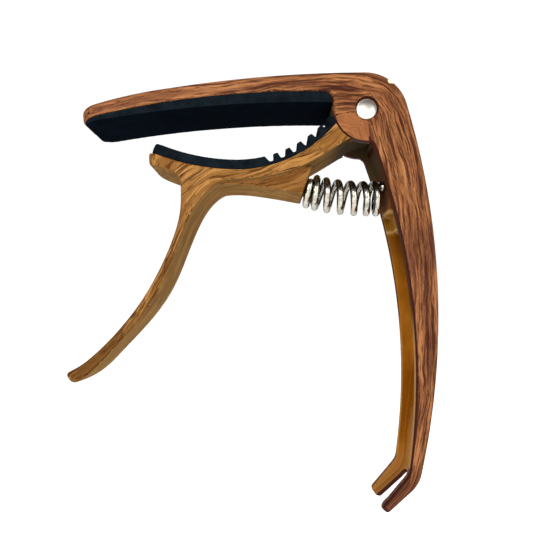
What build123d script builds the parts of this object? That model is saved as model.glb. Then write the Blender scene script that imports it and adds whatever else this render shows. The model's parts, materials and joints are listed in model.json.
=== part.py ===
from build123d import *
import math
import os

# Guitar capo: a clip with a fixed frame, a sprung jaw and two silicone pads.
# The outlines are drawn in the XZ plane with the pivot pin's axis at (0, 0), in millimetres.
# +X runs from the tips to the pivot, +Z from the strings up through the frame's bar, Y along the pin.
# The finished parts are then moved so that the origin is at the middle of the string face.

# ---- driving dimensions -------------------------------------------------------------------
WIDTH = 14.0                    # across both castings and both pads
HALF = WIDTH / 2

FRETBOARD_RADIUS = 305.0        # 12 inch radius of the string face
STRING_APEX = (-36.0, 3.2)      # middle of the string face
STRING_PAD_LEFT = -69.5         # pad's tip end
STRING_PAD_RIGHT = -8.35        # pad's pivot end
SEAM_RADIUS = 222.0             # underside of the bar, where the string pad is bonded
SEAM_TOP = (-31.0, 5.73)

EAR_RADIUS = 8.1                # clevis ears about the pin
EAR_THICKNESS = 2.1
BAR_TIP_CENTRE = (-41.0, -107.5)      # top of the bar near its tip
BAR_TIP_RADIUS = 116.2
CORNER_CENTRE = (-0.6, -1.8)    # outer corner between bar and handle
CORNER_RADIUS = 10.7
BACK_CENTRE = (-165.1, -39.6)   # outer curve of the handle
BACK_RADIUS = 179.4
INNER_CENTRE = (-156.9, -55.1)  # inner curve of the handle
INNER_RADIUS = 164.5
CHANNEL_WALL = 2.0              # side walls of the handle's channel
CHANNEL_BACK = 2.4              # back wall behind the deep channel
SHALLOW_FLOOR = 1.6             # depth of the channel above the deep part
DEEP_TOP = -29.5                # where the deep channel begins
DEEP_BOTTOM = -84.0

CLAW_LOW = (-2.35, -99.65)      # outer and inner corners of the claw's end
CLAW_HIGH = (-3.66, -98.05)
CLAW_BEND = -93.0               # height at which the handle's back turns into the claw
CLAW_FLOOR = 1.2                # thickness of the prongs between the side walls
CLAW_SLOT = 4.8                 # gap that takes a bridge pin's neck
CLAW_CROTCH = (3.6, -92.6)      # centre of the slot's round end
PRONG_ROUND = 1.7               # plan corners of the prongs

NECK_CURVE_CENTRE = (-30.65, 18.96)   # jaw's top near the pivot
NECK_CURVE_RADIUS = 31.65
TIP_CURVE_CENTRE = (-27.35, 47.34)    # jaw's top near the tip
TIP_CURVE_RADIUS = 60.2
JAW_TOP_JOIN = -32.6                  # x where the two curves meet
JAW_TIP_X = -55.1
NECK_PAD_TIP_X = -54.1
NECK_PAD_END = 46.6             # degrees from straight down, where the pad ends at the pivot
NECK_PAD_SMOOTH_END = 10.2      # degrees, where the teeth's low ground begins
NECK_PAD = 2.3                  # thickness of the neck pad
NECK_PAD_BASE = 0.75            # thickness between its teeth
TOOTH_FIRST = 14.65             # degrees from straight down about the curve's centre
TOOTH_PITCH = 6.17
TOOTH_COUNT = 6
TOOTH_TOP = 1.2
TOOTH_FOOT = 2.15

PIN_RADIUS = 1.5
PIN_HEAD_RADIUS = 2.5
PIN_HEAD_DOME = 0.6
COUNTERBORE_RADIUS = 2.8
COUNTERBORE_DEPTH = 0.95
RUNNING_CLEARANCE = 0.05        # radial, pin in jaw
WASHER_RADIUS = 4.0
WASHER_THICKNESS = 0.5
SIDE_CLEARANCE = 0.04           # each side of each washer
HUB_RADIUS = 5.8
HUB_POCKET = 6.2
STOP_RADIUS = 7.0               # nib on the hub that stops the jaw when it is closed
STOP_POCKET = 7.25
STOP_ANGLES = (132.0, 150.0)
EAR_CLEARANCE = 0.3             # ear to jaw

SPRING_RADIUS = 3.6             # mean radius of the coils
WIRE_RADIUS = 0.9
SPRING_TURNS = 6.5
JAW_SEAT = (-16.2, -17.0)       # centre of the spring's seat on the jaw
JAW_SEAT_ANGLE = -24.0          # direction that it faces, degrees above +X
HANDLE_SEAT = (4.3, -20.9)      # centre of the seat on the handle
SEAT_RADIUS = 4.8
POST_RADIUS = 1.85
POST_LENGTH = 3.2
WEB_HALF = 5.5                  # half width of the web that carries the jaw's spring seat

EDGE_ROUND = 0.7
JAW_EDGE_ROUND = 0.5
PLAN_ROUND = 4.5                # plan corners of bar tip and jaw tip

CLEVIS_HALF = HALF - EAR_THICKNESS
HUB_HALF = CLEVIS_HALF - WASHER_THICKNESS - 2 * SIDE_CLEARANCE


# ---- drawing helpers ----------------------------------------------------------------------
def on_circle(centre, radius, degrees):
    """Point of a circle, at an angle above +X."""
    turn = math.radians(degrees)
    return (centre[0] + radius * math.cos(turn), centre[1] + radius * math.sin(turn))


def circle_height(centre, radius, x, side=1):
    """Height of the upper (side 1) or lower (side -1) half of a circle at x."""
    return centre[1] + side * math.sqrt(radius**2 - (x - centre[0]) ** 2)


def circle_reach(centre, radius, z):
    """X of the right half of a circle at height z."""
    return centre[0] + math.sqrt(radius**2 - (z - centre[1]) ** 2)


def circles_meet(first, first_radius, second, second_radius):
    """Lower right point where two circles cross."""
    way = Vector(second[0] - first[0], second[1] - first[1])
    gap = way.length
    along = (first_radius**2 - second_radius**2 + gap**2) / (2 * gap)
    aside = math.sqrt(first_radius**2 - along**2)
    way = way.normalized()
    crossings = []
    for turn in (-aside, aside):
        x = first[0] + along * way.X - turn * way.Y
        z = first[1] + along * way.Y + turn * way.X
        crossings.append((x, z))
    return min(crossings, key=lambda point: point[1])


def arc_between(centre, radius, start, end):
    """Arc of a circle between two angles, by its middle."""
    middle = on_circle(centre, radius, (start + end) / 2)
    return ThreePointArc(on_circle(centre, radius, start), middle, on_circle(centre, radius, end))


def rounded_face(edges, rounds):
    """Face of a closed outline, with the corners nearest the given points rounded."""
    face = make_face(edges)
    for point, radius in rounds:
        corner = face.vertices().sort_by_distance((point[0], point[1], 0))[0]
        face = fillet(corner, radius)
    return face


def slab(outline, half_width=HALF):
    """Solid of a closed outline, or a face, in the XZ plane, the same width each side of it."""
    face = outline if isinstance(outline, (Face, Sketch)) else make_face(outline)
    return extrude(Plane.XZ * face, half_width, both=True)


def disc(centre, radius, low, high):
    """Round solid along Y between two values of y."""
    plane = Plane((centre[0], low, centre[1]), x_dir=(1, 0, 0), z_dir=(0, 1, 0))
    return extrude(plane * Circle(radius), high - low)


def full_disc(centre, radius, half_width=HALF):
    return disc(centre, radius, -half_width, half_width)


def sector(radius, start, end, half_width):
    """Pie slice about the pin."""
    a = on_circle((0, 0), radius, start)
    b = on_circle((0, 0), radius, end)
    return slab([Line((0, 0), a), arc_between((0, 0), radius, start, end), Line(b, (0, 0))], half_width)


def plan_corners(end_x, low, high):
    """The two corners outside a tip that is rounded in plan, between two heights."""
    reach = 2.0
    length = PLAN_ROUND + reach
    block = Box(length, WIDTH + 2 * reach, high - low, align=(Align.MIN, Align.CENTER, Align.MIN))
    block = Pos(end_x - reach, 0, low) * block
    inside = Box(2 * length, WIDTH - 2 * PLAN_ROUND, high - low, align=(Align.MIN, Align.CENTER, Align.MIN))
    block -= Pos(end_x, 0, low) * inside
    for side in (-1, 1):
        round_corner = Cylinder(PLAN_ROUND, high - low, align=(Align.CENTER, Align.CENTER, Align.MIN))
        block -= Pos(end_x + PLAN_ROUND, side * (HALF - PLAN_ROUND), low) * round_corner
    return block


def sharp_edges(solid):
    """Edges of a slab's outline, where two faces meet at a clear angle."""
    owners = {}
    for face in solid.faces():
        for edge in face.edges():
            middle = edge @ 0.5
            key = tuple(round(value, 3) for value in middle)
            owners.setdefault(key, (edge, []))[1].append(face.normal_at(middle))
    sharp = []
    for edge, normals in owners.values():
        across = abs((edge @ 0).Y - (edge @ 1).Y) > HALF
        clear = len(normals) == 2 and normals[0].get_angle(normals[1]) > 25
        if clear and not across:
            sharp.append(edge)
    return sharp


# ---- frame: bar, clevis ears, channelled handle and claw ----------------------------------
def frame_face():
    """Side view of the frame, drawn with sharp corners that are then rounded."""
    tip_top = (-70.9, circle_height(BAR_TIP_CENTRE, BAR_TIP_RADIUS, -70.9))
    bar_join = (-47.7, circle_height(BAR_TIP_CENTRE, BAR_TIP_RADIUS, -47.7))
    corner_start = on_circle(CORNER_CENTRE, CORNER_RADIUS, 85.9)
    corner_end = on_circle(CORNER_CENTRE, CORNER_RADIUS, 12.6)
    back_end = (circle_reach(BACK_CENTRE, BACK_RADIUS, CLAW_BEND), CLAW_BEND)
    back_mid = (circle_reach(BACK_CENTRE, BACK_RADIUS, -45.0), -45.0)
    inner_low = (circle_reach(INNER_CENTRE, INNER_RADIUS, -90.4), -90.4)
    inner_high = circles_meet((0, 0), EAR_RADIUS, INNER_CENTRE, INNER_RADIUS)
    inner_mid = (INNER_CENTRE[0] + INNER_RADIUS, INNER_CENTRE[1])
    ear_end = math.degrees(math.atan2(inner_high[1], inner_high[0]))
    pad_corner = (-EAR_RADIUS, circle_height(seam_centre(), SEAM_RADIUS, -EAR_RADIUS))
    tip_low = (-70.9, circle_height(seam_centre(), SEAM_RADIUS, -70.9))
    edges = [
        ThreePointArc(tip_top, (-59.0, circle_height(BAR_TIP_CENTRE, BAR_TIP_RADIUS, -59.0)), bar_join),
        ThreePointArc(bar_join, (-21.0, 9.6), corner_start),
        arc_between(CORNER_CENTRE, CORNER_RADIUS, 85.9, 12.6),
        ThreePointArc(corner_end, back_mid, back_end),
        Line(back_end, CLAW_LOW),
        Line(CLAW_LOW, CLAW_HIGH),
        Line(CLAW_HIGH, inner_low),
        ThreePointArc(inner_low, inner_mid, inner_high),
        arc_between((0, 0), EAR_RADIUS, ear_end, -180.0),
        Line((-EAR_RADIUS, 0), pad_corner),
        ThreePointArc(pad_corner, SEAM_TOP, tip_low),
        Line(tip_low, tip_top),
    ]
    rounds = [
        (back_end, 8.0),
        (CLAW_LOW, 1.0),
        (CLAW_HIGH, 0.9),
        (inner_low, 4.5),
        (inner_high, 2.0),
        (pad_corner, 2.0),
        (tip_low, 0.7),
        (tip_top, 1.6),
    ]
    return rounded_face(edges, rounds)


def seam_centre():
    return (SEAM_TOP[0], SEAM_TOP[1] - SEAM_RADIUS)


def shallow_channel():
    """Recess down the inside of the handle, from the ears to the claw."""
    floor_radius = INNER_RADIUS + SHALLOW_FLOOR
    top = (circle_reach(INNER_CENTRE, floor_radius, -3.0), -3.0)
    bottom = (circle_reach(INNER_CENTRE, floor_radius, DEEP_BOTTOM), DEEP_BOTTOM)
    middle = (INNER_CENTRE[0] + floor_radius, INNER_CENTRE[1])
    outside_bottom = (-6.0, DEEP_BOTTOM)
    outside_top = (-6.0, -3.0)
    edges = [
        ThreePointArc(top, middle, bottom),
        Line(bottom, outside_bottom),
        Line(outside_bottom, outside_top),
        Line(outside_top, top),
    ]
    return slab(edges, HALF - CHANNEL_WALL)


def deep_channel():
    """Hollow of the handle below the spring seat, its upper end a shallow V."""
    floor_radius = BACK_RADIUS - CHANNEL_BACK
    top_z = DEEP_TOP + 3.0
    top = (circle_reach(BACK_CENTRE, floor_radius, top_z), top_z)
    bottom = (circle_reach(BACK_CENTRE, floor_radius, DEEP_BOTTOM), DEEP_BOTTOM)
    middle = (BACK_CENTRE[0] + floor_radius, BACK_CENTRE[1])
    edges = [
        ThreePointArc(top, middle, bottom),
        Line(bottom, (-6.0, DEEP_BOTTOM)),
        Line((-6.0, DEEP_BOTTOM), (-6.0, top_z)),
        Line((-6.0, top_z), top),
    ]
    hollow = slab(edges, HALF - CHANNEL_WALL)
    v_side = DEEP_TOP + 2.0
    v_point = DEEP_TOP - 1.5
    v_outline = Polyline(
        (-HALF, top_z + 1),
        (-HALF, v_side),
        (0, v_point),
        (HALF, v_side),
        (HALF, top_z + 1),
        close=True,
    )
    return hollow - extrude(Plane.YZ * make_face(v_outline), 20, both=True)


def spring_seat():
    """Raised round seat for the spring in the handle's channel."""
    plane = Plane((HANDLE_SEAT[0], 0, HANDLE_SEAT[1]), z_dir=(1, 0, 0))
    return extrude(plane * Circle(SEAT_RADIUS), 4.0)


def claw_way():
    """Direction from the bend to the claw's end."""
    bend_x = circle_reach(BACK_CENTRE, BACK_RADIUS, CLAW_BEND)
    return Vector(CLAW_LOW[0] - bend_x, CLAW_LOW[1] - CLAW_BEND).normalized()


def claw_channel():
    """The handle's shallow channel, carried on between the claw's side walls to its end."""
    way = claw_way()
    inward = Vector(way.Y, -way.X)
    bend = Vector(circle_reach(BACK_CENTRE, BACK_RADIUS, CLAW_BEND), CLAW_BEND) + inward * CLAW_FLOOR
    end = Vector(*CLAW_LOW) + inward * CLAW_FLOOR + way * 2.0
    top = Vector(circle_reach(INNER_CENTRE, INNER_RADIUS + SHALLOW_FLOOR, DEEP_BOTTOM), DEEP_BOTTOM)
    outside = (-12.0, DEEP_BOTTOM)
    edges = [Line(top, bend), Line(bend, end), Line(end, outside), Line(outside, top)]
    return slab(rounded_face(edges, [((bend.X, bend.Y), 7.0)]), HALF - CHANNEL_WALL)


def claw_slot():
    """Gap between the claw's two prongs, round at its inner end, and the corners off their ends."""
    way = claw_way()
    run = Vector(way.X, 0, way.Y)
    across = Vector(way.Y, 0, -way.X)
    plane = Plane((CLAW_CROTCH[0], 0, CLAW_CROTCH[1]), x_dir=run, z_dir=across)
    reach = way.dot(Vector(*CLAW_LOW) - Vector(*CLAW_CROTCH))
    width = HALF - CLAW_SLOT / 2
    corners = Pos(reach - PRONG_ROUND + 2, 0) * Rectangle(4, WIDTH + 2)
    for side in (-1, 1):
        middle = side * (CLAW_SLOT / 2 + width / 2)
        corners -= Pos(reach - 3, middle) * RectangleRounded(6, width, PRONG_ROUND)
    slot = Circle(CLAW_SLOT / 2) + Pos(8, 0) * Rectangle(16, CLAW_SLOT)
    return extrude(plane * (slot + corners), 8, both=True)


def ear_recess(side):
    """Shallow sunk panel in an ear, below and left of the pin."""
    depth = 0.4
    ring = sector(EAR_RADIUS + 1, 188.0, 271.0, depth) - full_disc((0, 0), 3.1, depth)
    return Pos(0, side * HALF, 0) * ring


def frame():
    body = slab(frame_face())
    body -= plan_corners(-70.85, -2.0, 10.0)
    body = fillet(sharp_edges(body), EDGE_ROUND)
    body -= full_disc((0, 0), HUB_POCKET, CLEVIS_HALF)
    body -= sector(STOP_POCKET, STOP_ANGLES[0] - 0.6, 200.0, CLEVIS_HALF)
    body -= sector(14.0, 180.0, 282.0, CLEVIS_HALF)
    body -= shallow_channel()
    body -= deep_channel()
    body -= claw_channel()
    body += spring_seat()
    body -= claw_slot()
    for side in (-1, 1):
        body -= ear_recess(side)
        low, high = sorted((side * (HALF - COUNTERBORE_DEPTH), side * (HALF + 1)))
        body -= disc((0, 0), COUNTERBORE_RADIUS, low, high)
    body -= full_disc((0, 0), PIN_RADIUS, HALF)
    return body


# ---- jaw: curved plate, trigger, spring web and hub ---------------------------------------
def jaw_face():
    """Side view of plate and trigger in one outline, its pivot end inside the hub."""
    join = (JAW_TOP_JOIN, circle_height(NECK_CURVE_CENTRE, NECK_CURVE_RADIUS, JAW_TOP_JOIN, -1))
    neck_mid = (-18.5, jaw_top(-18.5))
    neck_end = (-7.9, jaw_top(-7.9))
    tip_mid = (-44.8, jaw_top(-44.8))
    tip_end = (JAW_TIP_X, jaw_top(JAW_TIP_X))
    hub_top = on_circle((0, 0), HUB_RADIUS - 0.3, 150)
    hub_low = on_circle((0, 0), HUB_RADIUS - 0.3, 285)
    under = (-5.0, -7.3)
    root = (-38.6, -16.0)
    trigger_low = (-78.6, -62.7)
    trigger_high = (-79.3, -59.6)
    throat = (-46.9, -12.9)
    tip_low = (JAW_TIP_X, -9.2)
    plate_low = [under, (-16.1, -12.7), (-30.0, -15.1), root]
    trigger_front = [root, (-44.3, -21.9), (-54.2, -40.9), (-68.6, -56.2), trigger_low]
    trigger_back = [trigger_high, (-70.2, -54.3), (-57.0, -40.7), (-49.0, -26.5), throat]
    edges = [
        ThreePointArc(tip_end, tip_mid, join),
        ThreePointArc(join, neck_mid, neck_end),
        Line(neck_end, hub_top),
        Line(hub_top, hub_low),
        Line(hub_low, under),
        Spline(*plate_low, tangents=[(-0.72, -0.35), (-0.9, -0.5)]),
        Spline(*trigger_front, tangents=[(-0.9, -0.5), (-0.95, -0.3)]),
        Line(trigger_low, trigger_high),
        Spline(*trigger_back, tangents=[(0.95, 0.3), (0, 1)]),
        Line(throat, tip_low),
        Line(tip_low, tip_end),
    ]
    rounds = [(tip_end, 0.8), (tip_low, 2.0), (throat, 2.5), (trigger_low, 1.1), (trigger_high, 1.1)]
    return rounded_face(edges, rounds)


def jaw_top(x):
    """Height of the jaw's top, where the neck pad is bonded."""
    if x < JAW_TOP_JOIN:
        return circle_height(TIP_CURVE_CENTRE, TIP_CURVE_RADIUS, x, -1)
    return circle_height(NECK_CURVE_CENTRE, NECK_CURVE_RADIUS, x, -1)


def exposed_edges(plate):
    """Sharp edges of the plate, without those beside the pad and those inside the clevis."""
    found = []
    for edge in sharp_edges(plate):
        middle = edge @ 0.5
        hidden = middle.X > -5
        beside_pad = middle.X < -7.8 and abs(middle.Z - jaw_top(middle.X)) < 0.8
        if not hidden and not beside_pad:
            found.append(edge)
    return found


def trigger_mask():
    """Everything inside the front view of the jaw: the trigger narrows to a round end."""
    top, waist, low = 20.0, -20.0, -62.9
    narrow = 4.6
    drop = waist - low
    bow = (HALF - narrow) / 4
    edges = [
        Line((-HALF, top), (HALF, top)),
        Line((HALF, top), (HALF, waist)),
        ThreePointArc((HALF, waist), (HALF - bow, waist - drop / 2), (narrow, low)),
        Line((narrow, low), (-narrow, low)),
        ThreePointArc((-narrow, low), (-HALF + bow, waist - drop / 2), (-HALF, waist)),
        Line((-HALF, waist), (-HALF, top)),
    ]
    face = rounded_face(edges, [((narrow, low), 3.8), ((-narrow, low), 3.8)])
    return extrude(Plane.YZ * face, 90, both=True)


def seat_plane(inset=0.0):
    """Plane of the jaw's spring seat, its normal along the spring, moved back by inset."""
    way = on_circle((0, 0), 1, JAW_SEAT_ANGLE)
    origin = (JAW_SEAT[0] - inset * way[0], 0, JAW_SEAT[1] - inset * way[1])
    return Plane(origin, x_dir=(0, 1, 0), z_dir=(way[0], 0, way[1]))


def web():
    """Rib under the plate that ends in the spring's seat."""
    up = on_circle((0, 0), 1, JAW_SEAT_ANGLE + 90)
    seat_high = (JAW_SEAT[0] + 4.6 * up[0], JAW_SEAT[1] + 4.6 * up[1])
    seat_low = (JAW_SEAT[0] - 2.6 * up[0], JAW_SEAT[1] - 2.6 * up[1])
    edges = [
        Line((-38.6, -14.5), seat_high),
        Line(seat_high, seat_low),
        Spline(seat_low, (-27.0, -16.95), (-38.6, -16.0), tangents=[(-0.97, 0.25), (-0.9, -0.2)]),
        Line((-38.6, -16.0), (-38.6, -14.5)),
    ]
    return slab(edges, WEB_HALF)


def jaw():
    ears_reach = EAR_RADIUS + EAR_CLEARANCE
    plate = slab(jaw_face()) & trigger_mask()
    body = fillet(exposed_edges(plate), JAW_EDGE_ROUND)
    body -= plan_corners(JAW_TIP_X, -14.0, 0.0)
    cheeks = full_disc((0, 0), ears_reach, HALF + 1) - full_disc((0, 0), ears_reach, HUB_HALF)
    body -= cheeks
    body += web()
    body += full_disc((0, 0), HUB_RADIUS, HUB_HALF)
    body += sector(STOP_RADIUS, STOP_ANGLES[0], STOP_ANGLES[1], HUB_HALF)
    body += extrude(seat_plane(1.0) * Circle(POST_RADIUS), POST_LENGTH + 1.0)
    body -= full_disc((0, 0), PIN_RADIUS + RUNNING_CLEARANCE, HALF)
    return body


# ---- pads ---------------------------------------------------------------------------------
def string_pad():
    """Silicone pad under the bar, its face hollowed to the fretboard's radius."""
    centre = (STRING_APEX[0], STRING_APEX[1] - FRETBOARD_RADIUS)
    low_left = (STRING_PAD_LEFT, circle_height(centre, FRETBOARD_RADIUS, STRING_PAD_LEFT))
    low_right = (STRING_PAD_RIGHT, circle_height(centre, FRETBOARD_RADIUS, STRING_PAD_RIGHT))
    seam_left = (-70.2, circle_height(seam_centre(), SEAM_RADIUS, -70.2))
    seam_right = (-10.55, circle_height(seam_centre(), SEAM_RADIUS, -10.55))
    edges = [
        ThreePointArc(seam_left, SEAM_TOP, seam_right),
        ThreePointArc(seam_right, (-8.95, 4.0), (STRING_PAD_RIGHT, 2.55)),
        Line((STRING_PAD_RIGHT, 2.55), low_right),
        ThreePointArc(low_right, STRING_APEX, low_left),
        Line(low_left, seam_left),
    ]
    return slab(edges) - plan_corners(-70.4, -2.0, 10.0)


def tooth(degrees):
    """One ridge of the neck pad, across its width, at an angle from straight down."""
    outward = Vector(*on_circle((0, 0), 1, degrees - 90))
    along = Vector(-outward.Y, outward.X)
    centre = Vector(*NECK_CURVE_CENTRE)
    foot = centre + outward * (NECK_CURVE_RADIUS - NECK_PAD_BASE + 0.3)
    crest = centre + outward * (NECK_CURVE_RADIUS - NECK_PAD)
    outline = Polyline(
        foot - along * TOOTH_FOOT / 2,
        foot + along * TOOTH_FOOT / 2,
        crest + along * TOOTH_TOP / 2,
        crest - along * TOOTH_TOP / 2,
        close=True,
    )
    return slab(outline.edges())


def neck_pad():
    """Silicone pad on the jaw: smooth towards the tip, toothed towards the pivot."""
    high = NECK_CURVE_RADIUS - NECK_PAD
    low = NECK_CURVE_RADIUS - NECK_PAD_BASE
    join_sine = (JAW_TOP_JOIN - NECK_CURVE_CENTRE[0]) / NECK_CURVE_RADIUS
    join_angle = math.degrees(math.asin(join_sine)) - 90
    end_angle = NECK_PAD_END - 90
    step_foot = NECK_PAD_SMOOTH_END + 0.9 - 90
    step_crest = NECK_PAD_SMOOTH_END - 0.8 - 90
    under_tip = (NECK_PAD_TIP_X, jaw_top(NECK_PAD_TIP_X))
    under_mid = (-43.6, jaw_top(-43.6))
    under_join = on_circle(NECK_CURVE_CENTRE, NECK_CURVE_RADIUS, join_angle)
    under_end = on_circle(NECK_CURVE_CENTRE, NECK_CURVE_RADIUS, end_angle)
    top_join = on_circle(NECK_CURVE_CENTRE, high, join_angle)
    top_mid = (-43.6, circle_height(TIP_CURVE_CENTRE, TIP_CURVE_RADIUS - NECK_PAD, -43.6, -1))
    lip_start = (-51.6, -5.0)
    lip_crest = (-52.2, -4.85)
    lip_end = (-52.75, -5.15)
    edges = [
        ThreePointArc(under_tip, under_mid, under_join),
        arc_between(NECK_CURVE_CENTRE, NECK_CURVE_RADIUS, join_angle, end_angle),
        Line(under_end, on_circle(NECK_CURVE_CENTRE, low, end_angle)),
        arc_between(NECK_CURVE_CENTRE, low, end_angle, step_foot),
        Line(on_circle(NECK_CURVE_CENTRE, low, step_foot), on_circle(NECK_CURVE_CENTRE, high, step_crest)),
        arc_between(NECK_CURVE_CENTRE, high, step_crest, join_angle),
        ThreePointArc(top_join, top_mid, lip_start),
        ThreePointArc(lip_start, lip_crest, lip_end),
        Line(lip_end, under_tip),
    ]
    pad = slab(edges)
    for number in range(TOOTH_COUNT):
        pad += tooth(TOOTH_FIRST + number * TOOTH_PITCH)
    pad -= plan_corners(NECK_PAD_TIP_X - 0.2, -14.0, 0.0)
    pad -= full_disc((0, 0), EAR_RADIUS + EAR_CLEARANCE, HALF + 1)
    return pad


# ---- pivot hardware -----------------------------------------------------------------------
def pivot_pin():
    """Rivet through the ears: a plain shank and a domed head at each end."""
    shoulder = HALF - COUNTERBORE_DEPTH
    pin = full_disc((0, 0), PIN_RADIUS, shoulder)
    ball = (PIN_HEAD_RADIUS**2 + PIN_HEAD_DOME**2) / (2 * PIN_HEAD_DOME)
    for side in (-1, 1):
        crown = Pos(0, side * (shoulder + PIN_HEAD_DOME - ball), 0) * Sphere(ball)
        low, high = sorted((side * shoulder, side * (shoulder + PIN_HEAD_DOME)))
        pin += crown & disc((0, 0), PIN_HEAD_RADIUS, low, high)
    return pin


def washer(side):
    inner = side * (CLEVIS_HALF - SIDE_CLEARANCE - WASHER_THICKNESS)
    outer = side * (CLEVIS_HALF - SIDE_CLEARANCE)
    low, high = sorted((inner, outer))
    ring = disc((0, 0), WASHER_RADIUS, low, high)
    return ring - disc((0, 0), PIN_RADIUS + RUNNING_CLEARANCE, low, high)


# ---- spring -------------------------------------------------------------------------------
def spring():
    """Compression spring between the two seats, drawn straight and just clear of both."""
    start = Vector(JAW_SEAT[0], 0, JAW_SEAT[1])
    end = Vector(HANDLE_SEAT[0], 0, HANDLE_SEAT[1])
    way = (end - start).normalized()
    heading = math.degrees(math.atan2(way.Z, way.X))
    start_gap = tilted_gap(heading - JAW_SEAT_ANGLE)
    end_gap = tilted_gap(-heading)
    length = (end - start).length - start_gap - end_gap
    path = Helix(length / SPRING_TURNS, length, SPRING_RADIUS)
    section = Plane(path @ 0, z_dir=path % 0) * Circle(WIRE_RADIUS)
    coil = sweep(section, path, is_frenet=True)
    return Plane(start + way * start_gap, x_dir=(0, 1, 0), z_dir=way) * coil


def tilted_gap(degrees):
    """Distance of an end coil's middle from a seat that is tilted to the spring."""
    outer = SPRING_RADIUS + WIRE_RADIUS
    return WIRE_RADIUS + 0.1 + outer * math.tan(math.radians(degrees))


# ---- assembly -----------------------------------------------------------------------------
def write(name, shape):
    moved = Pos(-STRING_APEX[0], 0, -STRING_APEX[1]) * shape
    moved.label = name
    export_step(moved, os.path.join("parts", name + ".step"))


os.makedirs("parts", exist_ok=True)
write("frame", frame())
write("jaw", jaw())
write("string_pad", string_pad())
write("neck_pad", neck_pad())
write("return_spring", spring())
write("pivot_pin", pivot_pin())
write("washer_front", washer(-1))
write("washer_rear", washer(1))
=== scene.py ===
"""Looks of a guitar capo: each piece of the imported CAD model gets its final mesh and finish.
Lengths are in millimetres until a piece is finished; outlines are drawn about the pivot's axis."""
import json
import math

import bpy
import numpy as np
from mathutils import Matrix, Vector


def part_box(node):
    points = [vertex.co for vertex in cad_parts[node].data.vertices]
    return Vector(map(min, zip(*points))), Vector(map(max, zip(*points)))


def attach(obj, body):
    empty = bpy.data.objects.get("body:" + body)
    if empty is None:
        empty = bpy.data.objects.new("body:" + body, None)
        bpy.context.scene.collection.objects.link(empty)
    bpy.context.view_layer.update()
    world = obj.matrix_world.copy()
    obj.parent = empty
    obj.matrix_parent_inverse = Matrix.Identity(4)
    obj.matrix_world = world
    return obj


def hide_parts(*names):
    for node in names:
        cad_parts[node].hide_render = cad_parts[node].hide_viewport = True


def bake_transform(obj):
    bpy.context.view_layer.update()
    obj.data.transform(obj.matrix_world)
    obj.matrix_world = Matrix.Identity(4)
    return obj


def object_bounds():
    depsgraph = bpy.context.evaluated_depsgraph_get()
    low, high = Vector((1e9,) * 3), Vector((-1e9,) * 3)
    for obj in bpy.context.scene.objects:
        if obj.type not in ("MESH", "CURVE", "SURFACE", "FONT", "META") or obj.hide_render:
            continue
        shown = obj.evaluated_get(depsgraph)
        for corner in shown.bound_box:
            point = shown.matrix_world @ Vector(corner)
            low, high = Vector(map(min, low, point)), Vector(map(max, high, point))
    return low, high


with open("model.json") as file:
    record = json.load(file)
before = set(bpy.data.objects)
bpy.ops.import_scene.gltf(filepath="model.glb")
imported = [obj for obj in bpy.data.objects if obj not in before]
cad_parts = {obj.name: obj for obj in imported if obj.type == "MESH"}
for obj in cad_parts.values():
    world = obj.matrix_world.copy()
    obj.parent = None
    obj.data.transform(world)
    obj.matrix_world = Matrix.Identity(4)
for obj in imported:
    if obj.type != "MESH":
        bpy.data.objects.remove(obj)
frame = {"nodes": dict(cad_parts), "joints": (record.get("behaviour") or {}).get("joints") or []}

MM = 0.001
CAD_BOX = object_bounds()
PIVOT = Vector(frame["joints"][0]["pos_m"]) / MM
HALF_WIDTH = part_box("frame")[1].y / MM

# ---- cells of the even meshes, before thinning ---------------------------------------------
FRAME_VOXEL = 0.17
JAW_VOXEL = 0.15
PAD_VOXEL = 0.16

# ---- where the frame's finish changes ------------------------------------------------------
CORNER_CENTRE = (-3.0, -4.5)    # the figure turns from the bar to the handle about this point
CORNER_RADIUS = 13.5
BAR_LOW = -12.0                 # the bar and the ears lie above this
CLEVIS_END = -9.0               # the gap between the ears ends here, towards the bar's tip
CLEVIS_TOP = 7.0
CHANNEL_WALL = 2.0              # side walls of the handle's channel
CHANNEL_TOP = -7.0
SOFTENED = 0.12                 # how far the softened mesh draws an edge back
FILM_EDGE = 0.93                # |normal.y| below which a side's film turns over an edge
EAR_RADIUS = 7.4                # round edge of the ears, about the pivot
EAR_END = (2.5, -1.0)           # that edge runs left of and below this place
EAR_LOW = -9.0
PANEL_END = (0.4, -0.9)         # and so does the panel sunk into each ear, of this one
BORE_RADIUS = 2.85              # counterbore round the pin's head
BLOCK_TOP = -24.35              # block below the spring's seat, with a paler lip at both ends painted as a highlight on its edges
BLOCK_FOOT = -30.0
BLOCK_LIPS = (-29.0, -24.9)
CLAW_TOP = -89.0
CLAW_TIP = -97.0
CLAW_SLOT = 2.8                 # half width of the claw's slot with its softened edges
CHIP = (6.3, -6.8, 6.2)         # worn spot on the outer corner of the near side
WEB_SIDE = 5.75                 # the jaw's web is narrower than its plate, and shaded by it

# ---- spring and pin ------------------------------------------------------------------------
SPRING_RADIUS = 3.6             # mean radius of the coils
WIRE_RADIUS = 0.9
WIRE_SIDES = 20
JAW_SEAT = (-16.2, -17.0)
JAW_SEAT_ANGLE = -22.0          # direction in which the spring leaves the jaw, degrees above +X
HANDLE_SEAT = (4.3, -20.9)
HANDLE_SEAT_ANGLE = -4.0        # direction in which it meets the handle
COIL_STEPS = (1.75, 2.95, 3.35, 3.55, 3.35, 2.9, 1.8)   # advance of each coil along the axis
POINTS_PER_COIL = 44
FIRST_COIL_ANGLE = 60.0
PIN_RADIUS = 1.5
PIN_HEAD_RADIUS = 2.5
PIN_HEAD_DOME = 0.6
PIN_SHOULDER = 6.05             # from the middle plane to the underside of a head
PIN_SIDES = 72

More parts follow.
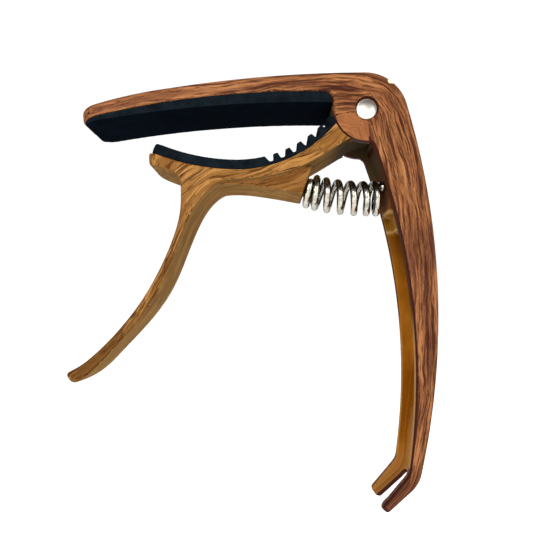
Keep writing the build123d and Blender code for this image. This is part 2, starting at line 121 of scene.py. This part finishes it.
# ---- studio; its floor and lights are in metres --------------------------------------------
FLOOR_GAP = 0.006               # from the object's lowest point down to the floor
FLOOR_REACH = 3.0
FLOOR_GLOW = 0.72
LIGHT_AIM = Vector((0, 0, -0.04))
CAMERA_PLACE = Vector((10.7, -112.1, -50.7))
CAMERA_ROLL = math.radians(4.15)
SURROUND = 0.55                 # brightness of the room beside and behind the camera
OVERHEAD = 0.02
BACKDROP = 1.06


# ---- meshes -------------------------------------------------------------------------------
def new_piece(name, mesh, body):
    """Object of a mesh in millimetres that rides on a CAD body, or on none."""
    mesh.transform(Matrix.Scale(MM, 4))
    piece = bpy.data.objects.new(name, mesh)
    bpy.context.scene.collection.objects.link(piece)
    for polygon in mesh.polygons:
        polygon.use_smooth = True
    if body:
        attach(piece, body)
    return piece


def even_mesh(node, voxel, passes, keep):
    """Copy of a CAD node as an even, closed mesh with softened edges, in millimetres."""
    mesh = frame["nodes"][node].data.copy()
    mesh.materials.clear()
    mesh.transform(Matrix.Scale(1 / MM, 4))
    holder = bpy.data.objects.new(node + "_even", mesh)
    bpy.context.scene.collection.objects.link(holder)
    holder.modifiers.new("weld", "WELD").merge_threshold = 0.0005
    remesh = holder.modifiers.new("even", "REMESH")
    remesh.mode = "VOXEL"
    remesh.voxel_size = voxel
    smooth = holder.modifiers.new("soften", "SMOOTH")
    smooth.factor = 0.5
    smooth.iterations = passes
    holder.modifiers.new("thin", "DECIMATE").ratio = keep
    graph = bpy.context.evaluated_depsgraph_get()
    made = bpy.data.meshes.new_from_object(holder.evaluated_get(graph))
    bpy.data.objects.remove(holder)
    return made


def positions(mesh):
    co = np.empty(len(mesh.vertices) * 3)
    mesh.vertices.foreach_get("co", co)
    return co.reshape(-1, 3)


def normals(mesh):
    values = np.empty(len(mesh.vertices) * 3)
    mesh.vertices.foreach_get("normal", values)
    return values.reshape(-1, 3)


def store_vector(mesh, name, values):
    attribute = mesh.attributes.new(name, "FLOAT_VECTOR", "POINT")
    attribute.data.foreach_set("vector", values.astype(np.float32).ravel())


def store_value(mesh, name, values):
    attribute = mesh.attributes.new(name, "FLOAT", "POINT")
    attribute.data.foreach_set("value", values.astype(np.float32))


def rest_places(mesh):
    """Places about the pivot's axis. They and the normals are kept on the mesh as attributes, so
    that a finish stays put when its piece moves."""
    places = positions(mesh) - np.array(PIVOT)
    store_vector(mesh, "place", places)
    store_vector(mesh, "facing", normals(mesh))
    return places


def tube(points, radius, sides):
    """Closed tube along points, its ends capped and slightly rounded off."""
    points = np.array(points)
    tangents = np.gradient(points, axis=0)
    tangents /= np.linalg.norm(tangents, axis=1)[:, None]
    side = np.cross(tangents, (0.0, 1.0, 0.0))
    side /= np.linalg.norm(side, axis=1)[:, None]
    up = np.cross(side, tangents)
    turn = np.linspace(0, 2 * math.pi, sides, endpoint=False)
    ring = np.cos(turn)[None, :, None] * side[:, None] + np.sin(turn)[None, :, None] * up[:, None]
    scale = np.full(len(points), radius)
    scale[0] = scale[-1] = radius * 0.8
    vertices = (points[:, None] + ring * scale[:, None, None]).reshape(-1, 3)
    faces = []
    for row in range(len(points) - 1):
        for column in range(sides):
            a = row * sides + column
            b = row * sides + (column + 1) % sides
            faces.append((a, a + sides, b + sides, b))
    last = (len(points) - 1) * sides
    faces.append(tuple(range(sides)))
    faces.append(tuple(last + column for column in reversed(range(sides))))
    mesh = bpy.data.meshes.new("tube")
    mesh.from_pydata(vertices.tolist(), [], faces)
    mesh.validate()
    return mesh


def lathe(profile, steps):
    """Solid of a profile of (radius, y) turned about the pin's axis, closed at both ends."""
    vertices, faces = [], []
    for radius, y in profile:
        for step in range(steps):
            turn = 2 * math.pi * step / steps
            vertices.append((PIVOT.x + radius * math.cos(turn), y, PIVOT.z + radius * math.sin(turn)))
    for row in range(len(profile) - 1):
        for step in range(steps):
            a = row * steps + step
            b = row * steps + (step + 1) % steps
            faces.append((a, b, b + steps, a + steps))
    faces.append(tuple(reversed(range(steps))))
    last = (len(profile) - 1) * steps
    faces.append(tuple(last + step for step in range(steps)))
    mesh = bpy.data.meshes.new("lathe")
    mesh.from_pydata(vertices, [], faces)
    mesh.validate()
    return mesh


# ---- how the printed figure runs over each casting ----------------------------------------
def outer_limit(along, out, step=0.5):
    """Furthest reach of the vertices in one direction, as a function of their place along another."""
    bins = np.round((along - along.min()) / step).astype(int)
    reach = np.full(bins.max() + 1, -1e9)
    np.maximum.at(reach, bins, out)
    centres = along.min() + step * np.arange(len(reach))
    good = reach > -1e8
    kernel = np.ones(5) / 5
    padded = np.pad(np.interp(centres, centres[good], reach[good]), 2, mode="edge")
    return lambda at: np.interp(at, centres, np.convolve(padded, kernel, mode="valid"))


def frame_grain(places):
    """Distance along the bar, round the corner and down the handle; depth below the outer edge; y."""
    x, y, z = places.T
    corner_x, corner_z = CORNER_CENTRE
    top = outer_limit(x[z > BAR_LOW], z[z > BAR_LOW])
    back = outer_limit(z, x)
    along = x - corner_x
    depth = top(x) - z
    handle = (x > corner_x) & (z <= corner_z)
    depth[handle] = (back(z) - x)[handle]
    along[handle] = (CORNER_RADIUS * math.pi / 2 + corner_z - z)[handle]
    corner = (x > corner_x) & (z > corner_z)
    reach = np.hypot(x - corner_x, z - corner_z)
    angle = np.arctan2(x - corner_x, z - corner_z)
    limits = (top(corner_x) - corner_z, back(corner_z) - corner_x)
    depth[corner] = (np.interp(angle, (0, math.pi / 2), limits) - reach)[corner]
    along[corner] = (CORNER_RADIUS * angle)[corner]
    return np.stack([along, depth, y], axis=1)


def frame_zones(places, normal):
    """Masks of the lacquered inside, its rims, the dark edges (painted shade on all but the film's
    trimmed edges) and the ears' panels.
    """
    x, y, z = places.T
    across = np.abs(y)
    face_x, face_y, face_z = normal.T
    wall = HALF_WIDTH - CHANNEL_WALL + SOFTENED
    tip = (z < CLAW_TIP) & (face_z < -0.3)
    slot = (z < CLAW_TOP + 1.0) & (across < CLAW_SLOT) & (np.abs(face_y) > 0.7)
    hollow = (across < wall) & (z < CLEVIS_TOP) & (x > CLEVIS_END)
    inside = hollow & (face_x < 0.45) & ~tip & ~slot
    rim = (across >= wall) & (z < CHANNEL_TOP - 0.5) & (z > CLAW_TOP) & (face_x < -0.45)
    turned = (np.abs(face_y) > 0.2) & (np.abs(face_y) < FILM_EDGE) & (across > wall + 1.0)
    dark_edge = turned & (face_x < -0.1) & (z < CHANNEL_TOP)
    radius = np.hypot(x, z)
    ear = (radius > EAR_RADIUS) & (x < EAR_END[0]) & (z < EAR_END[1]) & (z > EAR_LOW)
    ear_edge = ear & (np.abs(face_y) < FILM_EDGE)
    bore = (radius < BORE_RADIUS) & (across > PIN_SHOULDER - 0.3)
    sunk = (across > wall) & (across < HALF_WIDTH - 0.2) & (radius > BORE_RADIUS + 0.05)
    panel = sunk & (x < PANEL_END[0]) & (z < PANEL_END[1]) & (z > EAR_LOW + 0.5)
    # the third mask is painted shade on the ears' round edge, under the claw's tip, on the slot's sides
    # and in the counterbore, plus the film's trimmed edges
    return inside, rim & ~dark_edge, dark_edge | ear_edge | tip | slot | bore, panel


def path_grain(places, points):
    """Distance along a smooth path in the XZ plane; offset to one side of it; y."""
    points = np.array(points)
    ends = np.vstack([2 * points[0] - points[1], points, 2 * points[-1] - points[-2]])
    fine = []
    for index in range(1, len(ends) - 2):
        before, first, second, after = ends[index - 1:index + 3]
        for t in np.linspace(0, 1, 24, endpoint=False):
            bend = (2 * before - 5 * first + 4 * second - after) * t**2
            twist = (3 * first - before - 3 * second + after) * t**3
            fine.append(0.5 * (2 * first + (second - before) * t + bend + twist))
    fine = np.array(fine)
    run = np.concatenate([[0], np.cumsum(np.linalg.norm(np.diff(fine, axis=0), axis=1))])
    tangent = np.gradient(fine, axis=0)
    tangent /= np.linalg.norm(tangent, axis=1)[:, None]
    flat = places[:, [0, 2]]
    along = np.empty(len(flat))
    offset = np.empty(len(flat))
    for start in range(0, len(flat), 20000):
        chunk = slice(start, start + 20000)
        gap = flat[chunk, None] - fine[None]
        near = np.argmin((gap**2).sum(2), axis=1)
        step = gap[np.arange(len(near)), near]
        way = tangent[near]
        along[chunk] = run[near] + (step * way).sum(1)
        offset[chunk] = step[:, 0] * way[:, 1] - step[:, 1] * way[:, 0]
    return np.stack([along, offset, places[:, 1]], axis=1)


# Line that the jaw's figure follows, from the pivot along the plate and down the trigger.
JAW_FLOW = [
    (-2.0, -2.0),
    (-14.0, -9.5),
    (-28.0, -14.2),
    (-39.0, -16.5),
    (-46.0, -23.0),
    (-53.5, -36.5),
    (-64.0, -50.0),
    (-79.0, -61.5),
]


# ---- shader building ----------------------------------------------------------------------
def srgb(*levels):
    """Colour given as 0 to 255 display values, as the shader needs it."""
    linear = [((level / 255 + 0.055) / 1.055) ** 2.4 if level > 10 else level / 3295 for level in levels]
    return (*linear, 1.0)


class Finish:
    """A material with a Principled shader, and short calls for the nodes that feed it."""

    def __init__(self, name, **plain):
        self.material = bpy.data.materials.new(name)
        self.material.use_nodes = True
        self.tree = self.material.node_tree
        self.shader = self.tree.nodes["Principled BSDF"]
        for socket, value in plain.items():
            self.shader.inputs[socket.replace("_", " ")].default_value = value

    def add(self, kind, inputs, **settings):
        node = self.tree.nodes.new("ShaderNode" + kind)
        for setting, value in settings.items():
            setattr(node, setting, value)
        for key, value in inputs.items():
            self.feed(node.inputs[key], value)
        return node

    def feed(self, socket, value):
        if isinstance(value, bpy.types.NodeSocket):
            self.tree.links.new(value, socket)
        else:
            socket.default_value = value

    def attribute(self, name, output="Vector"):
        return self.add("Attribute", {}, attribute_name=name).outputs[output]

    def part_of(self, vector, axis):
        return self.add("SeparateXYZ", {0: vector}).outputs[axis]

    def maths(self, operation, a, b=0.0):
        return self.add("Math", {0: a, 1: b}, operation=operation).outputs[0]

    def vector(self, operation, a, b):
        return self.add("VectorMath", {0: a, 1: b}, operation=operation).outputs[0]

    def noise(self, vector, scale, detail=2.0, roughness=0.5, distortion=0.0):
        """Noise that is stretched by a different scale in each direction, per millimetre."""
        inputs = {
            "Vector": self.vector("MULTIPLY", vector, scale),
            "Scale": 1.0,
            "Detail": detail,
            "Roughness": roughness,
            "Distortion": distortion,
        }
        return self.add("TexNoise", inputs).outputs[0]

    def step(self, value, low, high):
        """0 at low, 1 at high, smooth between them."""
        inputs = {"Value": value, "From Min": low, "From Max": high}
        return self.add("MapRange", inputs, interpolation_type="SMOOTHSTEP").outputs[0]

    def range(self, value, low, high):
        """The value's middle half, 0.25 to 0.75, spread from low to high."""
        inputs = {"Value": value, "From Min": 0.25, "From Max": 0.75, "To Min": low, "To Max": high}
        return self.add("MapRange", inputs).outputs[0]

    def lines(self, noise, width):
        """Thin lines along one contour of a noise."""
        return self.step(self.maths("ABSOLUTE", self.maths("SUBTRACT", noise, 0.5)), width, 0.0)

    def mix(self, factor, a, b):
        """Colour a at factor 0, colour b at 1."""
        return self.add("Mix", {0: factor, 6: a, 7: b}, data_type="RGBA").outputs[2]

    def blend(self, factor, a, b):
        """Value a at factor 0, value b at 1."""
        return self.add("Mix", {0: factor, 2: a, 3: b}, data_type="FLOAT").outputs[0]

    def partly(self, share, mask):
        """A mask weakened to a share of itself."""
        return self.maths("MULTIPLY", mask, share)

    def facing(self, axis):
        """The part along one axis of the surface's normal at rest."""
        return self.part_of(self.attribute("facing"), axis)

    def edges(self):
        """The rounded edges between a flat side and the faces across it."""
        side = self.maths("ABSOLUTE", self.facing(1))
        return self.maths("MULTIPLY", self.step(side, 0.97, 0.85), self.step(side, 0.15, 0.45))

    def bump(self, height, distance):
        """Relief of the surface: height 1 stands out by distance, in millimetres."""
        node = self.add("Bump", {"Height": height, "Distance": distance * MM})
        self.feed(self.shader.inputs["Normal"], node.outputs[0])

    def colour(self, value):
        self.feed(self.shader.inputs["Base Color"], value)

    def roughness(self, value):
        self.feed(self.shader.inputs["Roughness"], value)


# ---- finishes -----------------------------------------------------------------------------
def wood_figure(finish, grain, flow):
    """Parts of a printed wood figure that run along the grain: broad bands, streaks and pores."""
    wave = finish.noise(grain, (0.06, 0.14, 0.10), 2.0)
    lift = finish.maths("MULTIPLY", finish.maths("SUBTRACT", wave, 0.5), flow)
    bent = finish.vector("ADD", grain, finish.add("CombineXYZ", {1: lift}).outputs[0])
    bands = finish.noise(bent, (0.05, 0.60, 0.40), 3.0, 0.55)
    streaks = finish.noise(bent, (0.085, 2.10, 1.5), 3.0, 0.62)
    pores = finish.noise(bent, (0.22, 4.00, 3.0), 2.0, 0.60)
    return bands, streaks, pores


def rosewood(finish, grain):
    """Orange-brown ground with dusty purple bands, dark streaks and thin dark pores."""
    bands, streaks, pores = wood_figure(finish, grain, 3.0)
    along = finish.part_of(grain, 0)
    dense = finish.step(along, -62.0, -5.0)
    ground = finish.mix(finish.step(bands, 0.36, 0.62), srgb(112, 67, 37), srgb(152, 99, 60))
    dusty = finish.maths("MULTIPLY", finish.step(bands, 0.46, 0.34), finish.range(dense, 0.15, 0.5))
    wood = finish.mix(dusty, ground, srgb(98, 62, 47))
    start = finish.range(dense, 0.59, 0.495)
    depth = finish.add("MapRange", {"Value": streaks, "From Min": start, "From Max": 0.60}).outputs[0]
    wood = finish.mix(finish.partly(0.9, depth), wood, srgb(50, 20, 10))
    hair = finish.partly(0.8, finish.lines(streaks, 0.020))
    wood = finish.mix(hair, wood, srgb(50, 20, 10))
    fine = finish.partly(0.7, finish.step(pores, 0.52, 0.60))
    return finish.mix(fine, wood, srgb(60, 26, 14)), streaks, pores


def lacquer(finish, place):
    """Amber varnish inside the handle, with painted shade that darkens it up to the block and paints the
    spring's seat dark brown.
    """
    height = finish.part_of(place, 2)
    tone = finish.noise(place, (0.10, 0.10, 0.045), 3.0)
    amber = finish.mix(finish.step(tone, 0.38, 0.62), srgb(116, 64, 4), srgb(154, 98, 28))
    amber = finish.mix(finish.step(height, -84.0, -93.0), amber, srgb(150, 100, 44))
    # painted shade, deeper in the channel towards the block
    shade = finish.partly(0.75, finish.step(height, -44.0, -31.0))
    amber = finish.mix(shade, amber, srgb(84, 44, 6))
    foot = finish.step(height, BLOCK_FOOT - 0.3, BLOCK_FOOT + 0.3)
    block = finish.mix(foot, amber, srgb(116, 76, 16))
    # painted highlight: a pale line at each end of the block
    for lip in BLOCK_LIPS:
        gap = finish.maths("ABSOLUTE", finish.maths("SUBTRACT", height, lip))
        block = finish.mix(finish.step(gap, 0.55, 0.2), block, srgb(146, 112, 66))
    # painted shade: dark brown at the spring's seat, olive-brown above it
    seat = finish.mix(finish.step(height, -18.0, -13.0), srgb(86, 50, 26), srgb(62, 48, 30))
    return finish.mix(finish.step(height, BLOCK_TOP - 0.35, BLOCK_TOP + 0.35), block, seat)


def worn(finish, place, colour, under, amount):
    """Colour with the casting's own tone showing through in small nicks along the edges."""
    nicks = finish.noise(place, (0.9, 0.9, 0.9), 4.0, 0.65)
    mask = finish.maths("MULTIPLY", finish.edges(), finish.step(nicks, 0.60, 0.68))
    return finish.mix(finish.partly(amount, mask), colour, under)


def rosewood_film():
    """The frame's film, varnish, rims and dark edges, told apart by its masks; the pale rims are a
    painted highlight and the dark edges partly painted shade.
    """
    finish = Finish("rosewood_film", Specular_IOR_Level=0.05)
    place = finish.attribute("place")
    wood, streaks, pores = rosewood(finish, finish.attribute("grain"))
    panel = finish.partly(0.55, finish.attribute("panel", "Fac"))
    wood = finish.mix(panel, wood, srgb(146, 90, 52))
    height = finish.part_of(place, 2)
    claw = finish.partly(0.5, finish.step(height, CLAW_TOP, CLAW_TIP))
    wood = finish.mix(claw, wood, srgb(62, 30, 22))
    wood = worn(finish, place, wood, srgb(178, 138, 100), 0.6)
    gap = finish.add("VectorMath", {0: place, 1: CHIP}, operation="DISTANCE").outputs["Value"]
    ragged = finish.maths("ADD", gap, finish.noise(place, (2.0, 2.0, 2.0), 2.0))
    wood = finish.mix(finish.step(ragged, 1.45, 1.2), wood, srgb(226, 208, 176))
    inside = finish.attribute("inside", "Fac")
    colour = finish.mix(inside, wood, lacquer(finish, place))
    rim_mask = finish.attribute("rim", "Fac")
    # painted highlight: the lower rims pale along the walls' inner edge, the upper ones dark film
    rim = finish.mix(finish.step(height, -48.0, -60.0), srgb(60, 36, 16), srgb(150, 112, 66))
    colour = finish.mix(rim_mask, colour, rim)
    # painted shade and the film's dark trimmed edges
    colour = finish.mix(finish.attribute("dark_edge", "Fac"), colour, srgb(52, 20, 10))
    finish.colour(colour)
    satin = finish.range(streaks, 0.34, 0.50)
    glossy = finish.range(pores, 0.22, 0.32)
    dull = finish.maths("MAXIMUM", rim_mask, finish.step(height, -30.0, -22.0))
    varnish = finish.blend(dull, glossy, 0.9)
    finish.roughness(finish.blend(finish.maths("MAXIMUM", inside, rim_mask), satin, varnish))
    finish.bump(finish.maths("SUBTRACT", pores, inside), 0.025)
    return finish.material


def golden_film():
    """The jaw's film: bold figure on its flat sides, plainer across the faces between them, darkened
    there partly as painted shade.
    """
    finish = Finish("golden_film", Specular_IOR_Level=0.025)
    place = finish.attribute("place")
    bands, streaks, pores = wood_figure(finish, finish.attribute("grain"), 7.0)
    light = finish.mix(finish.step(bands, 0.36, 0.64), srgb(120, 80, 36), srgb(162, 116, 61))
    wood = finish.mix(finish.step(streaks, 0.54, 0.64), light, srgb(76, 42, 12))
    wood = finish.mix(finish.partly(0.6, finish.lines(streaks, 0.018)), wood, srgb(76, 42, 12))
    wood = finish.mix(finish.partly(0.85, finish.lines(bands, 0.022)), wood, srgb(56, 26, 6))
    hair = finish.partly(0.45, finish.step(pores, 0.54, 0.64))
    wood = finish.mix(hair, wood, srgb(84, 48, 16))
    across = finish.maths("ABSOLUTE", finish.part_of(place, 1))
    shaded = finish.partly(0.5, finish.step(across, WEB_SIDE + 0.15, WEB_SIDE - 0.15))
    wood = finish.mix(shaded, wood, srgb(78, 42, 10))
    height = finish.part_of(place, 2)
    low = finish.partly(0.3, finish.step(height, -25.0, -58.0))
    wood = finish.mix(low, wood, srgb(74, 50, 18))
    long_lines = finish.lines(finish.noise(finish.attribute("grain"), (0.035, 1.0, 0.7), 3.0), 0.05)
    on_trigger = finish.partly(0.85, finish.step(height, -20.0, -30.0))
    wood = finish.mix(finish.maths("MULTIPLY", long_lines, on_trigger), wood, srgb(56, 28, 8))
    side = finish.step(finish.maths("ABSOLUTE", finish.facing(1)), 0.35, 0.8)
    # plainer and darker faces between the sides: the plain undercoat, darkened partly as painted shade
    plain = finish.mix(finish.step(bands, 0.3, 0.7), srgb(102, 73, 37), srgb(128, 95, 52))
    # painted shade on the plate's inner end by the pivot
    painted_shade_near_pivot = finish.step(finish.part_of(place, 0), -13.0, -5.0)
    plain = finish.mix(painted_shade_near_pivot, plain, srgb(56, 46, 30))
    wood = finish.mix(side, plain, wood)
    finish.colour(worn(finish, place, wood, srgb(196, 158, 104), 0.5))
    finish.roughness(finish.blend(side, 0.85, finish.range(streaks, 0.36, 0.50)))
    finish.bump(pores, 0.025)
    return finish.material


def silicone():
    """Black silicone with painted light: a slate tone on its flat sides and left end and a paler line on
    its edges; a fine skin and a little dust.
    """
    finish = Finish("black_silicone", Specular_IOR_Level=0.004)
    place = finish.attribute("place")
    mottle = finish.noise(place, (0.35, 0.35, 0.35), 4.0, 0.6)
    skin = finish.noise(place, (9.0, 9.0, 9.0), 3.0, 0.6)
    dust = finish.step(finish.noise(place, (1.6, 1.6, 1.6), 3.0, 0.7), 0.70, 0.76)
    black = finish.mix(finish.step(mottle, 0.3, 0.7), srgb(2, 6, 12), srgb(6, 12, 21))
    # painted light: the sides and the left end lighter, the faces between them black as in shade
    side = finish.step(finish.maths("ABSOLUTE", finish.facing(1)), 0.3, 0.8)
    side = finish.maths("MAXIMUM", side, finish.step(finish.facing(0), -0.35, -0.65))
    lit_slate = finish.mix(finish.step(mottle, 0.3, 0.7), srgb(10, 14, 19), srgb(18, 25, 30))
    black = finish.mix(side, black, lit_slate)
    # painted highlight along the rounded edges
    black = finish.mix(finish.partly(0.5, finish.edges()), black, srgb(16, 21, 28))
    finish.colour(finish.mix(finish.partly(0.2, dust), black, srgb(72, 76, 82)))
    finish.roughness(finish.range(mottle, 0.66, 0.86))
    finish.bump(skin, 0.02)
    return finish.material


def nickel(name, roughness, light, dark):
    """Bright plating; where a mesh has the flank attribute, the flanks between its coils are painted
    dark as painted shade and reflection.
    """
    finish = Finish(name, Metallic=1.0)
    place = finish.attribute("place")
    haze = finish.noise(place, (1.2, 1.2, 1.2), 4.0, 0.65)
    lines = finish.noise(place, (3.0, 14.0, 3.0), 2.0)
    plate = finish.mix(finish.step(haze, 0.35, 0.7), light, dark)
    # painted shade and dark reflection on the wire's flanks that face the next coils
    painted_dark_flanks = finish.partly(0.9, finish.step(finish.attribute("flank", "Fac"), 0.45, 0.9))
    finish.colour(finish.mix(painted_dark_flanks, plate, srgb(34, 30, 24)))
    finish.roughness(finish.range(haze, roughness, roughness + 0.12))
    finish.bump(lines, 0.005)
    return finish.material


def nylon():
    """Off-white washers, seen only at the edges of the clevis."""
    finish = Finish("washer_nylon")
    place = finish.add("TexCoord", {}).outputs["Object"]
    mottle = finish.noise(place, (1500.0, 1500.0, 1500.0), 3.0)
    finish.colour(finish.mix(finish.step(mottle, 0.3, 0.7), srgb(198, 194, 182), srgb(222, 219, 210)))
    finish.roughness(finish.range(mottle, 0.42, 0.58))
    finish.bump(mottle, 0.01)
    return finish.material


# ---- pieces -------------------------------------------------------------------------------
def build_frame():
    mesh = even_mesh("frame", FRAME_VOXEL, 5, 0.30)
    places = rest_places(mesh)
    inside, rim, dark_edge, panel = frame_zones(places, normals(mesh))
    store_vector(mesh, "grain", frame_grain(places))
    store_value(mesh, "inside", inside)
    store_value(mesh, "rim", rim)
    store_value(mesh, "dark_edge", dark_edge)
    store_value(mesh, "panel", panel)
    mesh.materials.append(rosewood_film())
    piece = new_piece("frame_casting", mesh, "frame")
    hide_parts("frame")


def build_jaw():
    mesh = even_mesh("jaw", JAW_VOXEL, 5, 0.35)
    store_vector(mesh, "grain", path_grain(rest_places(mesh), JAW_FLOW))
    mesh.materials.append(golden_film())
    piece = new_piece("jaw_casting", mesh, "jaw")
    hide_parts("jaw")


def build_pads():
    rubber = silicone()
    for node, body in (("string_pad", "frame"), ("neck_pad", "jaw")):
        mesh = even_mesh(node, PAD_VOXEL, 4, 0.5)
        rest_places(mesh)
        mesh.materials.append(rubber)
        piece = new_piece(node + "_silicone", mesh, body)
        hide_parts(node)


def heading(degrees):
    turn = math.radians(degrees)
    return Vector((math.cos(turn), 0, math.sin(turn)))


def spring_ends():
    """Middle of the wire's first and last coil, against the two seats."""
    start = Vector((PIVOT.x + JAW_SEAT[0], 0, PIVOT.z + JAW_SEAT[1]))
    end = Vector((PIVOT.x + HANDLE_SEAT[0], 0, PIVOT.z + HANDLE_SEAT[1]))
    return start + heading(JAW_SEAT_ANGLE) * WIRE_RADIUS, end - heading(HANDLE_SEAT_ANGLE) * WIRE_RADIUS


def spring_points(start, end):
    """Middle of the wire: closed coils at the ends, open ones between, on a slightly bent axis."""
    third = (end - start).length / 3
    a = start + heading(JAW_SEAT_ANGLE) * third
    b = end - heading(HANDLE_SEAT_ANGLE) * third
    turns = np.arange(len(COIL_STEPS) + 1)
    places = np.concatenate([[0], np.cumsum(COIL_STEPS)]) / sum(COIL_STEPS)
    points = []
    for turn in np.linspace(0, turns[-1], POINTS_PER_COIL * len(COIL_STEPS)):
        t = float(np.interp(turn, turns, places))
        s = 1 - t
        centre = start * s**3 + a * 3 * t * s**2 + b * 3 * t**2 * s + end * t**3
        way = ((a - start) * s**2 + (b - a) * 2 * t * s + (end - b) * t**2).normalized()
        up = Vector((-way.z, 0, way.x))
        angle = 2 * math.pi * turn + math.radians(FIRST_COIL_ANGLE)
        reach = math.cos(angle) * up - math.sin(angle) * Vector((0, 1, 0))
        points.append(centre + SPRING_RADIUS * reach)
    return points


def build_spring():
    start, end = spring_ends()
    mesh = tube(spring_points(start, end), WIRE_RADIUS, WIRE_SIDES)
    rest_places(mesh)
    axis = np.array((end - start).normalized())
    # the flank attribute carries the painted shade and reflection on the coils' flanks into the finish
    store_value(mesh, "flank", np.abs(normals(mesh) @ axis))
    mesh.materials.append(nickel("spring_nickel", 0.06, srgb(200, 195, 182), srgb(144, 138, 124)))
    piece = new_piece("return_spring_coil", mesh, None)
    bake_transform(piece)
    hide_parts("return_spring")


def build_pin():
    """Rivet with a shallow dome at each end, turned about the pivot's axis."""
    ball = (PIN_HEAD_RADIUS**2 + PIN_HEAD_DOME**2) / (2 * PIN_HEAD_DOME)
    centre = PIN_SHOULDER + PIN_HEAD_DOME - ball
    dome = []
    for radius in np.linspace(0.05, PIN_HEAD_RADIUS - 0.12, 14):
        dome.append((radius, centre + math.sqrt(ball**2 - radius**2)))
    rim = [(PIN_HEAD_RADIUS - 0.02, PIN_SHOULDER + 0.1), (PIN_HEAD_RADIUS - 0.04, PIN_SHOULDER)]
    half = dome + rim + [(PIN_RADIUS, PIN_SHOULDER)]
    profile = half + [(radius, -y) for radius, y in reversed(half)]
    mesh = lathe(profile, PIN_SIDES)
    rest_places(mesh)
    mesh.materials.append(nickel("pin_nickel", 0.34, srgb(230, 226, 212), srgb(198, 192, 178)))
    piece = new_piece("pivot_rivet", mesh, "frame")
    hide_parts("pivot_pin")


def finish_washers():
    material = nylon()
    for name in ("washer_front", "washer_rear"):
        node = frame["nodes"][name]
        node.data.materials.clear()
        node.data.materials.append(material)


# ---- studio -------------------------------------------------------------------------------
def build_floor():
    """Pale floor that glows a little, which hides its horizon against the backdrop."""
    below = CAD_BOX[0].z - FLOOR_GAP
    mesh = bpy.data.meshes.new("floor")
    square = ((-1, -1), (1, -1), (1, 1), (-1, 1))
    corners = [(x * FLOOR_REACH, y * FLOOR_REACH, below) for x, y in square]
    mesh.from_pydata(corners, [], [(0, 1, 2, 3)])
    floor = bpy.data.objects.new("studio_floor", mesh)
    bpy.context.scene.collection.objects.link(floor)
    finish = Finish("pale_floor", Roughness=0.9, Specular_IOR_Level=0.1)
    finish.shader.inputs["Emission Color"].default_value = (1, 1, 1, 1)
    finish.shader.inputs["Emission Strength"].default_value = FLOOR_GLOW
    mottle = finish.noise(finish.add("TexCoord", {}).outputs["Object"], (10.0, 10.0, 10.0), 3.0)
    finish.colour(finish.mix(finish.step(mottle, 0.3, 0.7), srgb(248, 248, 248), srgb(252, 252, 252)))
    mesh.materials.append(finish.material)


def build_world():
    """White backdrop behind the object, a dim room at the sides and a dark ceiling."""
    world = bpy.data.worlds.new("studio")
    bpy.context.scene.world = world
    world.use_nodes = True
    nodes, links = world.node_tree.nodes, world.node_tree.links
    background = nodes["Background"]
    direction = nodes.new("ShaderNodeSeparateXYZ")
    links.new(nodes.new("ShaderNodeTexCoord").outputs["Generated"], direction.inputs[0])

    def graded(axis, low, high, start, stop):
        shade = nodes.new("ShaderNodeMapRange")
        shade.interpolation_type = "SMOOTHSTEP"
        for key, value in (("From Min", low), ("From Max", high), ("To Min", start), ("To Max", stop)):
            shade.inputs[key].default_value = value
        links.new(direction.outputs[axis], shade.inputs["Value"])
        return shade.outputs[0]

    room = graded("Z", 0.42, 0.80, SURROUND, OVERHEAD)
    behind = graded("Y", 0.10, 0.68, 0.0, 1.0)
    blend = nodes.new("ShaderNodeMix")
    links.new(behind, blend.inputs[0])
    links.new(room, blend.inputs[2])
    blend.inputs[3].default_value = BACKDROP
    links.new(blend.outputs[0], background.inputs["Strength"])
    background.inputs["Color"].default_value = (1, 1, 1, 1)


def add_light(name, place, size, power):
    """Round soft light that is aimed at the object's middle."""
    light = bpy.data.lights.new(name, "AREA")
    light.shape = "DISK"
    light.size = size
    light.energy = power
    lamp = bpy.data.objects.new(name, light)
    lamp.location = place
    lamp.rotation_euler = (LIGHT_AIM - Vector(place)).to_track_quat("-Z", "Y").to_euler()
    bpy.context.scene.collection.objects.link(lamp)


def build_camera():
    """Level camera that looks along +Y, rolled a little, its lens shifted up to centre the object."""
    camera = bpy.data.cameras.new("camera")
    camera.lens = 28.2
    camera.sensor_width = 36
    camera.shift_x = -0.0055
    camera.shift_y = 0.062
    camera.clip_start = 0.001
    right = Vector((math.cos(CAMERA_ROLL), 0, -math.sin(CAMERA_ROLL)))
    up = Vector((math.sin(CAMERA_ROLL), 0, math.cos(CAMERA_ROLL)))
    rig = bpy.data.objects.new("camera", camera)
    turn = Matrix((right, up, right.cross(up))).transposed()
    rig.matrix_world = Matrix.Translation(CAMERA_PLACE * MM) @ turn.to_4x4()
    bpy.context.scene.collection.objects.link(rig)
    bpy.context.scene.camera = rig


build_frame()
build_jaw()
build_pads()
build_spring()
build_pin()
finish_washers()
build_floor()
build_world()
add_light("key", place=(-0.12, -0.45, 0.10), size=0.26, power=1.9)
add_light("fill", place=(0.40, -0.40, 0.05), size=0.30, power=0.8)
build_camera()
bpy.context.scene.view_settings.view_transform = "Standard"
